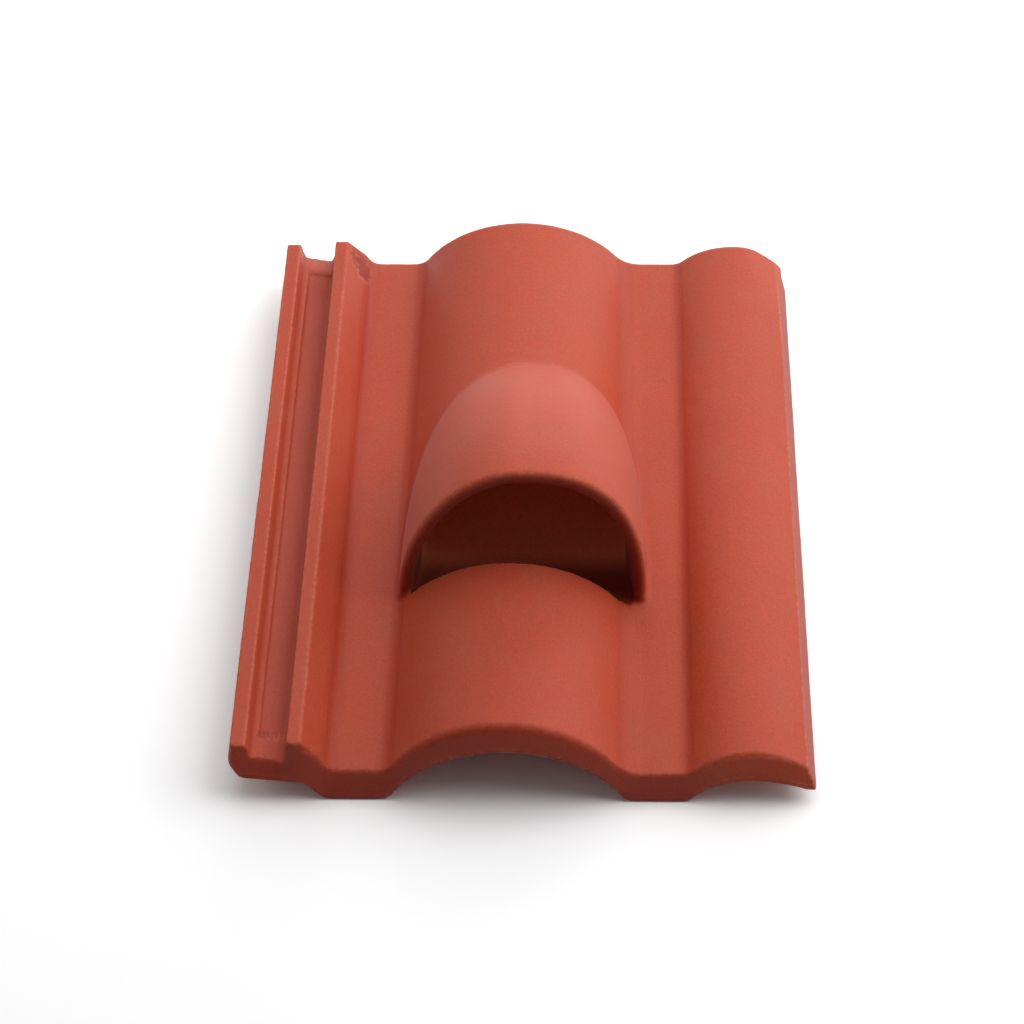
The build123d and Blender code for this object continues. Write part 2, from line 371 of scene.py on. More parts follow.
@dataclass
class TileBody:
    """Pans, rolls, ribs and nose of the tile: a cross-section carried from eave to head.

    Sizes are in mm and degrees, heights are over the resting plane. A span named a fade says
    over which distances from a place something changes.
    """

    length: float
    width: float
    wall: float = 11.0
    eave_lean: float = 6.0
    head_lean: float = 4.0
    nose_depth: float = 18.0
    nose_length: float = 24.0
    nose_slope: float = 20.0
    roll_centre: float = -8.0
    roll_radius: float = 75.5
    roll_rise: float = 39.0
    roll_foot_radius: float = 10.0
    roll_far_foot_radius: float = 17.0
    small_inset: float = 37.0
    small_radius: float = 44.0
    small_rise: float = 16.8
    small_far_radius: float = 52.0
    nose_far_radius: float = 78.0
    skirt_run: float = 6.2
    skirt_bottom: float = 10.5
    skirt_corner_radius: float = 2.6
    lip_inset: float = 0.4
    small_foot_radius: float = 8.0
    side_lean: float = 2.9
    side_inset: float = 0.7
    side_level: float = 24.0
    side_foot_run: float = 8.5
    side_radius: float = 8.0
    outer_rib_top: float = 36.6
    outer_rib_width: float = 9.1
    outer_rib_run: float = 2.0
    channel_high: float = 28.6
    channel_low: float = 24.6
    channel_thickness: float = 12.0
    inner_rib_top: float = 39.4
    inner_rib_inset: float = 33.0
    inner_rib_draft: float = 1.8
    inner_rib_width: float = 8.2
    inner_rib_run: float = 15.0
    slope_bend_run: float = 4.5
    slope_bend_rise: float = 8.8
    slope_bend_radius: float = 12.0
    nose_lap_shift: float = 4.1
    nose_lap_run: float = 12.4
    nose_foot_radius: float = 7.5
    thin_foot_back: float = 7.5
    rib_edge_radius: float = 1.2
    slope_foot_radius: float = 9.0
    pan_foot_radius: float = 4.0
    channel_foot_radius: float = 4.2
    lap_skew: float = 0.9
    arris_radius: float = 2.2
    crown_arris_radius: float = 4.6
    rib_arris_radius: float = 0.7
    side_arris_radius: float = 4.5
    under_arris_radius: float = 1.3
    rib_fade: Span = (-1.0, 5.0)
    corner_fade: Span = (-14.0, -3.0)
    corner_sharpness: float = 0.7
    arris_fade: Span = (-1.0, 3.0)
    side_fade: Span = (3.0, 6.5)
    drafted_lean: float = 15.0
    draft_blend: tuple[float, ...] = (-4.5, -2.2, 0.0, 2.2, 4.5)
    nose_draft: tuple[tuple[float, float], ...] = (
        (-165.0, 5.6), (-80.0, 5.0), (-8.0, 3.4), (60.0, 3.6), (128.0, 4.8), (165.0, 4.0),
    )

    def __post_init__(self) -> None:
        """Works out the places that follow from the sizes, and both sections."""
        self.left = -self.width / 2
        self.right = self.width / 2
        self.eave = -self.length / 2
        self.head = self.length / 2
        self.pan_level = self.nose_depth
        self.underside = self.pan_level - self.wall
        axis = self.pan_level + self.roll_rise - self.roll_radius
        self.roll = Circle(self.roll_centre, axis, self.roll_radius)
        small_axis = self.pan_level + self.small_rise - self.small_radius
        self.small = Circle(self.right - self.small_inset, small_axis, self.small_radius)
        crown = self.pan_level + self.small_rise
        self.far_side = Circle(
            self.small.centre, crown - self.small_far_radius, self.small_far_radius
        )
        self.corner_x = self.right - self.skirt_run
        self.rib_foot = self.left + self.inner_rib_inset
        self.rib_left = self.rib_foot + self.inner_rib_draft
        self.rib_right = self.rib_left + self.inner_rib_width
        self.pan_start = self.rib_right + self.inner_rib_run
        top = self.top_corners()
        self.thin = SectionTable(rounded_outline(top + self.under_corners(nose=False)))
        self.thick = SectionTable(rounded_outline(top + self.under_corners(nose=True)))
        self.top_line = open_line(top)
        self.nose_line = open_line(self.under_corners(nose=True))

    def top_corners(self) -> list[Corner]:
        """Corners of the weather face, from the left edge to the lip of the skirt."""
        half = self.roll.half_chord(self.pan_level)
        small_half = self.small.half_chord(self.pan_level)
        pan, rib, foot = self.pan_level, self.rib_edge_radius, self.roll_foot_radius
        outer_start = self.left + self.side_lean
        outer_end = outer_start + self.outer_rib_width
        return [
            Corner(outer_start, self.outer_rib_top, rib),
            Corner(outer_end, self.outer_rib_top, rib),
            Corner(outer_end + self.outer_rib_run, self.channel_high, self.channel_foot_radius),
            Corner(self.rib_foot, self.channel_low, 2 * rib),
            Corner(self.rib_left, self.inner_rib_top, rib),
            Corner(self.rib_right, self.inner_rib_top, 2 * rib),
            Corner(self.pan_start - self.slope_bend_run, pan + self.slope_bend_rise,
                   self.slope_bend_radius),
            Corner(self.pan_start, pan, self.slope_foot_radius),
            Corner(self.roll_centre - half, pan, foot, self.roll),
            Corner(self.roll_centre + half, pan, self.roll_far_foot_radius),
            Corner(self.small.centre - small_half, pan, self.small_foot_radius, self.small),
            Corner(self.small.centre, pan + self.small_rise, 0.0, self.far_side),
            Corner(self.corner_x, self.far_side.height(self.corner_x), self.skirt_corner_radius),
            Corner(self.right - self.lip_inset, self.skirt_bottom, self.rib_edge_radius),
        ]

    def under_corners(self, nose: bool) -> list[Corner]:
        """Corners of the underside, from the lip back to the left edge.

        Args:
            nose: Whether the section is the thick one along the eave.

        Returns:
            The corners in order.
        """
        lap_x = self.rib_left + self.inner_rib_width / 2
        if nose:
            under = self.pan_level - self.nose_depth
            arch = Circle(self.roll.centre, self.roll.level - self.nose_depth, self.roll_radius)
            small = Circle(
                self.small.centre, self.small.level - self.nose_depth, self.small_radius
            )
            lap_x, run = lap_x + self.nose_lap_shift, self.nose_lap_run
            foot = self.nose_foot_radius
            crown = self.small_rise
            far = Circle(small.centre, crown - self.nose_far_radius, self.nose_far_radius)
        else:
            under = self.underside
            arch = Circle(self.roll.centre, self.roll.level, self.roll_radius - self.wall)
            small = Circle(self.small.centre, self.small.level, self.small_radius - self.wall)
            run = self.inner_rib_run - self.thin_foot_back
            foot = self.pan_foot_radius
            crown, far = small.level + small.radius, small
        reach = far.centre + far.half_chord(self.skirt_bottom)
        arch_half, small_half = arch.half_chord(under), small.half_chord(under)
        low = self.channel_low - self.channel_thickness
        side_foot = self.channel_high - self.channel_thickness
        return [
            Corner(min(reach, self.corner_x), self.skirt_bottom, 0.0, far),
            Corner(small.centre, crown, 0.0, small),
            Corner(small.centre - small_half, under, foot / 2),
            Corner(arch.centre + arch_half, under, foot, arch),
            Corner(arch.centre - arch_half, under, foot),
            Corner(lap_x + run, under, foot),
            Corner(lap_x, low, self.pan_foot_radius),
            Corner(self.left + self.side_foot_run, side_foot, self.side_radius),
            Corner(self.left + self.side_inset, self.side_level, self.side_radius),
        ]

    def top(self, x: Array) -> Array:
        """Height of the weather face at x, read off the section's own line."""
        return np.interp(x, self.top_line[:, 0], self.top_line[:, 1])

    def draft(self, p: Points) -> Array:
        """How far the nose's face is set back by its draft, from none below to full above."""
        x, full = np.array(self.nose_draft).T
        under = np.interp(p.x, self.nose_line[:, 0], self.nose_line[:, 1])
        above = sum(self.top(p.x + shift) for shift in self.draft_blend)
        depth = np.maximum(above / len(self.draft_blend) - under, self.channel_thickness)
        return np.interp(p.x, x, full) * np.clip((p.z - under) / depth, 0.0, 1.0)

    def eave_plane(self, p: Points) -> Array:
        """Distance past the leaning, drafted eave face, positive in front of it."""
        lean = math.radians(self.eave_lean)
        front = self.eave - p.y + p.z * math.tan(lean) + self.draft(p)
        return front * math.cos(math.radians(self.drafted_lean))

    def head_plane(self, p: Points) -> Array:
        """Distance past the leaning head face, positive behind it."""
        lean = math.radians(self.head_lean)
        return ((p.z - self.underside) * math.tan(lean) + p.y - self.head) * math.cos(lean)

    def nose_back(self, p: Points) -> Array:
        """Distance past the sloping back of the nose, positive behind it."""
        slope = math.radians(self.nose_slope)
        back = p.y - self.eave - self.nose_length - p.z * math.tan(slope)
        return back * math.cos(slope)

    def arris(self, p: Points) -> Array:
        """Radius of the eave face's edge: large along the top, small below and at the ribs."""
        top = self.top(p.x)
        crown = smooth_step(top, self.pan_level, self.pan_level + self.roll_rise)
        upper = blend(self.arris_radius, self.crown_arris_radius, crown)
        corner = self.corner_sharpness * smooth_step(p.x - self.corner_x, *self.corner_fade)
        pans = smooth_step(p.x - self.rib_right, *self.rib_fade) * (1.0 - corner)
        upper = blend(self.rib_arris_radius, upper, pans)
        high = smooth_step(p.z - top + self.nose_depth / 2, *self.arris_fade)
        radius = blend(self.under_arris_radius, upper, high)
        return blend(self.side_arris_radius, radius, smooth_step(p.x - self.left, *self.side_fade))

    def solid(self, p: Points) -> Array:
        """Distance to the whole swept body between its two end faces."""
        thick, back = self.thick.at(p.x, p.z), self.nose_back(p)
        thin = np.maximum(self.thin.at(p.x, p.z), np.minimum(-back, thick))
        swept = np.minimum(thin, common(thick, back, self.under_arris_radius))
        swept = common(swept, self.eave_plane(p), self.arris(p))
        return common(swept, self.head_plane(p), self.under_arris_radius)


@dataclass
class WaterChannel:
    """Gutter sunk in the floor of the channel, its ragged pit, and the drop at the head."""

    body: TileBody
    depth: float = 2.2
    front_depth: float = 1.5
    end_depth: float = 1.1
    head_dip: float = 2.6
    dip_length: float = 19.0
    inset: float = 17.6
    from_eave: float = 23.4
    from_head: float = 19.5
    front_ramp: float = 1.6
    back_ramp: float = 0.35
    floor_radius: float = 1.3
    rim_radius: float = 0.5
    end_fade: Span = (-26.0, -2.0)
    pit_place: Span = (5.2, -184.6)
    pit_sizes: tuple[float, float, float] = (5.2, 2.0, 2.4)
    pit_lift: float = 0.9
    pit_waves: tuple[tuple[float, float, float], ...] = ((0.25, 1.7, 0.0), (0.175, 2.9, 1.3))
    dip_left: Span = (12.0, 15.5)
    dip_right: Span = (-2.5, 0.6)
    dip_fade: Span = (-9.0, -4.0)

    def __post_init__(self) -> None:
        """Works out where the gutter lies."""
        self.left = self.body.left + self.inset
        self.start = self.body.eave + self.from_eave
        self.end = self.body.head - self.from_head

    def bed(self, p: Points) -> Array:
        """Level of the channel's floor between the ribs, falling evenly to the inner rib."""
        body = self.body
        foot = body.left + body.side_lean + body.outer_rib_width + body.outer_rib_run
        share = np.clip((body.rib_foot - p.x) / (body.rib_foot - foot), 0.0, 1.0)
        return blend(body.channel_low, body.channel_high, share)

    def floor(self, p: Points) -> Array:
        """Level of the gutter's floor, deeper towards the head and shallow at its very end."""
        share = np.clip((p.y - self.start) / (self.end - self.start), 0.0, 1.0)
        depth = blend(self.front_depth, self.depth, share)
        last = smooth_step(p.y - self.end, *self.end_fade)
        return self.bed(p) - blend(depth, self.end_depth, last)

    def scoop(self, p: Points) -> Array:
        """Distance to the pit at the front end of the gutter.

        It is an ellipsoid with the gauge g = √Σ(o/s)² of the offsets o and half sizes s, and the
        distance is g(g − 1) over √Σ(o/s²)². Sine waves along x and y make it ragged.
        """
        across, along = self.pit_place
        ragged = sum(size * np.sin(by_x * p.x + by_y * p.y) for size, by_x, by_y in self.pit_waves)
        offs = (p.x - self.left - across, p.y - along + ragged, p.z - self.bed(p) + self.pit_lift)
        pairs = list(zip(offs, self.pit_sizes))
        gauge = np.sqrt(sum((off / size) ** 2 for off, size in pairs))
        steep = np.sqrt(sum((off / size ** 2) ** 2 for off, size in pairs))
        return gauge * (gauge - 1.0) / np.maximum(steep, LEAST_SLOPE)

    def gutter(self, p: Points) -> Array:
        """Distance to the gutter's space, a long box open upwards that ends in ramps."""
        side = common(self.left - p.x, p.x - self.body.rib_foot, self.floor_radius)
        rise = self.body.top(p.x) - p.z
        front = (self.start - p.y + rise * self.front_ramp) / math.hypot(1.0, self.front_ramp)
        back = (p.y - self.end + rise * self.back_ramp) / math.hypot(1.0, self.back_ramp)
        ends = np.maximum(front, back)
        space = common(side, self.floor(p) - p.z, self.floor_radius)
        space = common(space, ends, self.floor_radius)
        return common(space, p.z - self.body.channel_high, self.rim_radius)

    def dip(self, p: Points) -> Array:
        """How far the channel drops where it runs out at the head, in mm."""
        body = self.body
        across = smooth_step(p.x - body.left, *self.dip_left)
        across = across * (1.0 - smooth_step(p.x - body.rib_foot, *self.dip_right))
        along = smooth_step(p.y, body.head - self.dip_length, body.head)
        return self.head_dip * across * along * smooth_step(p.z - body.channel_low, *self.dip_fade)

    def inside(self, p: Points) -> Array:
        """Share from 0 to 1 of how far a place lies down in the gutter."""
        across = smooth_step(p.x, self.left - 0.3, self.left + 0.3)
        across = across * (1.0 - smooth_step(p.x - self.body.rib_foot, 0.0, 1.2))
        along = smooth_step(p.y, self.start, self.start + 25.0)
        return across * along * smooth_step(-p.z, -self.body.channel_high, -self.floor(p) - 1.5)


@dataclass
class Hood:
    """Cast hood over the big roll, open towards the eave.

    Its form at a distance t of its reach behind the mouth is the arch
    |x / (W·n)|^p + |z / (H·l)|^p = 1 with n = (1 − t^q)^(1/q) and l = (1 − t^s)^(1/s). The power
    p is smaller on the left, where the shoulder is rounder.
    """

    body: TileBody
    centre: float = -2.1
    width: float = 145.6
    height: float = 101.0
    reach: float = 176.5
    wall: float = 12.0
    flare: float = 4.5
    from_eave: float = 129.0
    lean: float = 6.0
    left_power: float = 1.9
    right_power: float = 2.6
    plan_power: float = 2.4
    crown_power: float = 1.75
    last_share: float = 0.94
    share_past: float = 0.03
    outer_lip: float = 3.6
    inner_lip: float = 3.4
    foot_fillet: float = 2.6
    mouth_fillet: float = 2.2
    shoulder_fade: Span = (-12.0, 12.0)
    flare_run: float = 32.0
    fillet_fade: Span = (5.0, 60.0)

    def __post_init__(self) -> None:
        """Works out the foot of the mouth."""
        self.mouth = self.body.eave + self.from_eave

    def form(self, p: Points, inset: float) -> Array:
        """Distance to the hood's form, inset from its outside.

        The gauge g of the arch is 1 on its surface, and (g − 1) over the length of its own
        gradient is the distance there.

        Args:
            p: Places, in mm.
            inset: How far inside the outer surface, in mm.

        Returns:
            Signed distance, first order near the surface.
        """
        reach = self.reach - inset
        share = np.clip((p.y - self.mouth) / reach, 0.0, self.last_share + self.share_past)
        narrow = (1 - share ** self.plan_power) ** (1 / self.plan_power)
        low = (1 - share ** self.crown_power) ** (1 / self.crown_power)
        half = (self.width / 2 - inset) * narrow
        tall = (self.height - inset) * low
        across = np.abs(p.x - self.centre) / half
        up = np.maximum(p.z - self.body.pan_level, 0.0) / tall
        side = smooth_step(p.x - self.centre, *self.shoulder_fade)
        power = blend(self.left_power, self.right_power, side)
        gauge = np.maximum((across ** power + up ** power) ** (1 / power), 1e-3)
        by_x, by_z = (across / gauge) ** (power - 1), (up / gauge) ** (power - 1)
        plan_slope = share ** (self.plan_power - 1) / narrow ** self.plan_power
        crown_slope = share ** (self.crown_power - 1) / low ** self.crown_power
        by_y = (by_x * across * plan_slope + by_z * up * crown_slope) / reach
        steep = np.sqrt((by_x / half) ** 2 + (by_z / tall) ** 2 + by_y ** 2)
        distance = (gauge - 1) / np.maximum(steep, 1 / self.width)
        return np.maximum(distance, p.y - self.mouth - reach * self.last_share)

    def inner_inset(self, p: Points) -> Array:
        """Thickness of the hood's wall, in mm, which runs out thinner towards the mouth."""
        inner = smooth_step(p.y - self.mouth, 0.0, self.flare_run)
        return blend(self.wall - self.flare, self.wall, inner)

    def mouth_plane(self, p: Points) -> Array:
        """Distance past the leaning plane of the mouth, positive in front of it."""
        lean = math.radians(self.lean)
        front = self.mouth - p.y + (p.z - self.body.pan_level) * math.tan(lean)
        return front * math.cos(lean)

    def outside(self, p: Points) -> Array:
        """Distance to the hood as one block, its mouth's outer edge rounded."""
        block = common(self.form(p, 0.0), self.mouth_plane(p), self.outer_lip)
        return np.maximum(block, self.body.underside - p.z)

    def fillet(self, p: Points) -> Array:
        """Radius where the hood meets the roll: full at the back, tight beside the mouth."""
        back = smooth_step(p.y - self.mouth, *self.fillet_fade)
        radius = blend(self.mouth_fillet, self.foot_fillet, back)
        return radius * smooth_step(p.z, self.body.pan_level - 4.0, self.body.pan_level)


@dataclass
class CableWell:
    """Space inside the hood, cut down to the pans, with the cable's opening in its floor."""

    body: TileBody
    hood: Hood
    from_eave: float = 127.0
    corner_radius: float = 3.5
    sill_radius: float = 0.6
    slot_width: float = 60.0
    slot_length: float = 36.0
    slot_radius: float = 10.0
    slot_from_end: float = 21.0
    slot_rim: float = 1.5
    rim_fade: Span = (1.5, 14.0)
    sill_back: float = 2.0

    def __post_init__(self) -> None:
        """Works out the front of the well and the middle of the opening."""
        self.front = self.body.eave + self.from_eave
        end = self.hood.mouth + self.hood.reach - self.hood.wall
        self.slot_middle = end - self.slot_from_end - self.slot_length / 2

    def space(self, p: Points) -> Array:
        """Distance to the space inside the hood, above the pans and behind the sill."""
        inside = self.hood.form(p, self.hood.inner_inset(p))
        inside = common(inside, self.body.pan_level - p.z, self.corner_radius)
        return np.maximum(inside, self.front - p.y)

    def rim(self, p: Points) -> Array:
        """Radius of the space's rim: sharp at the sill over the roll, full round the mouth."""
        above = smooth_step(p.z - self.body.top(p.x), *self.rim_fade)
        return blend(self.sill_radius, self.hood.inner_lip, above)

    def sill_wall(self, p: Points) -> Array:
        """Distance to the wall across the roll's hollow, below the sill."""
        wall = self.body.wall
        middle = self.front - wall / 2 + self.sill_back
        across = np.abs(p.y - middle) - wall / 2 - self.sill_back
        roll = self.body.roll
        disc = np.hypot(p.x - roll.centre, p.z - roll.level) - roll.radius + wall / 2
        return np.maximum(np.maximum(across, disc), self.body.underside - p.z)

    def slot(self, p: Points) -> Array:
        """Distance to the opening in the floor, a rectangle with rounded corners in plan."""
        plan = rounded_box((p.x - self.hood.centre, p.y - self.slot_middle),
                           (self.slot_width, self.slot_length), self.slot_radius)
        return np.maximum(plan, p.z - self.body.pan_level - self.body.wall)


@dataclass
class Nibs:
    """Two nibs under the head that hook on the batten."""

    body: TileBody
    width: float = 22.0
    thickness: float = 14.0
    from_head: float = 16.0
    radius: float = 2.0

    def centres(self) -> tuple[float, float]:
        """Places of the nibs across the tile, in the middle of each pan."""
        body = self.body
        half = body.roll.half_chord(body.pan_level)
        small_half = body.small.half_chord(body.pan_level)
        left = (body.pan_start + body.roll_centre - half) / 2
        right = (body.roll_centre + half + body.small.centre - small_half) / 2
        return left, right

    def solid(self, p: Points, centre: float) -> Array:
        """Distance to one nib, a block with rounded edges."""
        middle = self.body.head - self.from_head - self.thickness / 2
        height = self.body.underside + self.body.wall / 2
        return rounded_box((p.x - centre, p.y - middle, p.z - height / 2),
                           (self.width, self.thickness, height), self.radius)


@dataclass
class CornerCut:
    """Cut in the skirt at the head corner, where four tiles meet."""

    body: TileBody
    length: float = 11.0
    depth: float = 3.0
    run: float = 12.0
    rim: float = 1.0
    bevel_start: tuple[float, float] = (147.9, 31.9)
    bevel_lean: float = 43.0
    bevel_fade: float = 0.12
    bevel_radius: float = 7.0

    def space(self, p: Points) -> Array:
        """Distance to the space outside the cut skirt and behind a slanting line."""
        across = p.x - self.body.right + self.depth
        along = p.y - self.body.head + self.length
        slant = (across * self.run + along * self.depth) / math.hypot(self.run, self.depth)
        return np.maximum(-across, -slant)

    def bevel(self, p: Points) -> Array:
        """Distance to the space over a plane that rounds the small roll's outer head corner."""
        lean = math.radians(self.bevel_lean)
        across, up = p.x - self.bevel_start[0], p.z - self.bevel_start[1]
        along = (p.y - self.body.head) * self.bevel_fade
        return -(across * math.sin(lean) + up * math.cos(lean) + along)


@dataclass(frozen=True)
class NoiseLayer:
    """One use of the noise: its wavelength, and a shift that makes it differ from the others."""

    length: float
    shift: tuple[float, float, float] = (0.0, 0.0, 0.0)


@dataclass(frozen=True)
class Stroke:
    """Short stroke of the knock, from one place in plan to another, in mm."""

    start: tuple[float, float]
    end: tuple[float, float]
    radius: float
    depth: float


@dataclass
class Wear:
    """Marks of the mould and of handling, all of them losses of material.

    Sizes are in mm. A range says between which values of the noise a loss grows to its depth.
    """

    body: TileBody
    seed: int = 7
    wave: NoiseLayer = NoiseLayer(34.0)
    wave_depth: float = 0.22
    pock: NoiseLayer = NoiseLayer(7.0, (71.0, 13.0, 29.0))
    pock_depth: float = 0.16
    tear: NoiseLayer = NoiseLayer(3.6, (5.0, 41.0, 3.0))
    tear_range: Span = (-0.35, 0.6)
    tear_depth: float = 1.4
    tear_reach: float = 2.8
    tear_flatness: float = 0.8
    low_tear: float = 0.5
    rib_tear: float = 1.6
    sand: NoiseLayer = NoiseLayer(2.2, (17.0, 2.0, 53.0))
    sand_range: Span = (-0.3, 0.9)
    sand_depth: float = 0.5
    seam_rise: float = 2.2
    seam_width: float = 1.1
    seam_depth: float = 0.5
    seam_fade: Span = (0.2, 1.0)
    seam_reach: Span = (1.5, 3.0)
    rags: tuple[tuple[float, NoiseLayer], ...] = (  # size and layer
        (0.9, NoiseLayer(2.6, (3.0, 9.0, 31.0))), (0.5, NoiseLayer(1.5, (23.0, 49.0, 1.0))),
    )
    stroke_edge: Span = (-1.2, 0.5)
    knock: tuple[Stroke, ...] = (
        Stroke((-119.6, 200.5), (-116.8, 190.0), 1.7, 0.35),
        Stroke((-114.8, 198.5), (-111.6, 187.5), 3.3, 0.6),
        Stroke((-110.4, 198.0), (-110.1, 191.5), 1.8, 0.5),
        Stroke((-118.0, 204.0), (-112.5, 202.5), 2.8, 0.3),
        Stroke((-109.3, 203.2), (-109.1, 202.6), 1.3, 0.4),
    )

    def __post_init__(self) -> None:
        """Draws the noise."""
        self.noise = ValueNoise(self.seed)

    def layer(self, p: Points, layer: NoiseLayer) -> Array:
        """One layer of the noise at places."""
        return self.noise.at(p.moved(*layer.shift), layer.length)

    def waves(self, p: Points) -> Array:
        """Loss from the slightly uneven face that the mould leaves."""
        long_wave = (self.layer(p, self.wave) + 1.0) * self.wave_depth / 2
        return long_wave + (self.layer(p, self.pock) + 1.0) * self.pock_depth / 2

    def torn(self, p: Points) -> Array:
        """Loss along the top arris of the eave face, worst at the ends of the ribs."""
        body, top = self.body, self.body.top(p.x)
        edge = np.hypot(body.eave_plane(p), self.tear_flatness * (top - p.z))
        raised = smooth_step(top, body.channel_high, body.outer_rib_top)
        reach = self.tear_reach * blend(self.low_tear, 1.0, raised)
        laps = 1.0 - smooth_step(p.x, body.rib_right, body.pan_start)
        ribs = smooth_step(top, body.channel_high + 2.0, body.outer_rib_top)
        tear = smooth_step(self.layer(p, self.tear), *self.tear_range)
        tear = tear * laps * (self.tear_depth + ribs * self.rib_tear)
        sand = smooth_step(self.layer(p, self.sand), *self.sand_range) * self.sand_depth
        return (1.0 - smooth_step(edge, 0.0, reach)) * (tear + sand)

    def seam(self, p: Points) -> Array:
        """Loss in a fine groove along the foot of the eave face, where the mould parted."""
        body = self.body
        under = np.interp(p.x, body.nose_line[:, 0], body.nose_line[:, 1])
        off = np.abs(p.z - under - self.seam_rise) / self.seam_width
        face = 1.0 - smooth_step(np.abs(body.eave_plane(p)), *self.seam_reach)
        return self.seam_depth * (1.0 - smooth_step(off, *self.seam_fade)) * face

    def bruise(self, p: Points) -> Array:
        """Loss at the ragged knock in the slope of the inner rib, near the head.

        Each stroke is as deep as it says up to near its radius, which the noise makes ragged.
        """
        ragged = sum(size * self.layer(p, layer) for size, layer in self.rags)
        total = 0.0
        for stroke in self.knock:
            (x0, y0), (x1, y1) = stroke.start, stroke.end
            dx, dy = x1 - x0, y1 - y0
            share = np.clip(((p.x - x0) * dx + (p.y - y0) * dy) / (dx * dx + dy * dy), 0.0, 1.0)
            past = np.hypot(p.x - x0 - share * dx, p.y - y0 - share * dy) + ragged - stroke.radius
            loss = stroke.depth * (1.0 - smooth_step(past, *self.stroke_edge))
            total = np.maximum(total, loss)
        body = self.body
        return total * smooth_step(p.z, body.underside + body.wall / 2, body.pan_level)

    def loss(self, p: Points) -> Array:
        """All the losses together."""
        return self.waves(p) + self.torn(p) + self.seam(p) + self.bruise(p)


@dataclass
class Lattice:
    """Uneven box of nodes on which the casting is sampled, in mm."""

    x: Array
    y: Array
    z: Array

    @staticmethod
    def graded(start: float, stretches: tuple[tuple[float, float], ...]) -> Array:
        """Coordinates from start on, each stretch evenly divided at about its own step.

        Args:
            start: First coordinate.
            stretches: The end of each stretch and the step wanted there.

        Returns:
            All coordinates in rising order.
        """
        parts = [np.array([start])]
        for end, step in stretches:
            low = parts[-1][-1]
            count = max(1, round((end - low) / step))
            parts.append(np.linspace(low, end, count + 1)[1:])
        return np.concatenate(parts)

    def nodes(self) -> Points:
        """The nodes as three arrays that broadcast to the whole box."""
        return Points(self.x[:, None, None], self.y[None, :, None], self.z[None, None, :])


@dataclass
class NetMesh:
    """Vertices as rows of x, y and z, and faces as rows of four vertex numbers."""

    points: Array
    quads: Array


def surface_net(lattice: Lattice, values: Array) -> NetMesh:
    """Surface where the sampled values pass through zero.

    Each cell of the lattice that the surface crosses gets one vertex, at the mean of the places
    where its edges are crossed. Each crossed edge gets one face, of the four cells round it.

    Args:
        lattice: The nodes.
        values: Signed distance at each node.

    Returns:
        The closed surface, with its faces pointing to where the values are positive.
    """
    axes = (lattice.x, lattice.y, lattice.z)
    cells = tuple(n - 1 for n in values.shape)
    total = np.zeros((int(np.prod(cells)), 3))
    count = np.zeros(len(total))
    faces = []
    for axis in range(3):
        low_part = [slice(None)] * 3
        high_part = [slice(None)] * 3
        low_part[axis], high_part[axis] = slice(0, -1), slice(1, None)
        low, high = values[tuple(low_part)], values[tuple(high_part)]
        index = np.array(np.nonzero((low < 0) != (high < 0)))
        low_value, high_value = low[tuple(index)], high[tuple(index)]
        place = np.stack([axes[a][index[a]] for a in range(3)], axis=1)
        span = axes[axis][index[axis] + 1] - axes[axis][index[axis]]
        place[:, axis] += span * low_value / (low_value - high_value)
        second, third = (axis + 1) % 3, (axis + 2) % 3
        around = []
        for back, aside in ((1, 1), (0, 1), (0, 0), (1, 0)):
            cell = index.copy()
            cell[second] -= back
            cell[third] -= aside
            flat = np.ravel_multi_index(tuple(cell), cells)
            around.append(flat)
            np.add.at(total, flat, place)
            np.add.at(count, flat, 1.0)
        face = np.stack(around, axis=1)
        outward = low_value < 0
        faces.append(np.where(outward[:, None], face, face[:, ::-1]))
    used = np.nonzero(count)[0]
    number = np.full(len(count), -1)
    number[used] = np.arange(len(used))
    return NetMesh(total[used] / count[used, None], number[np.vstack(faces)])


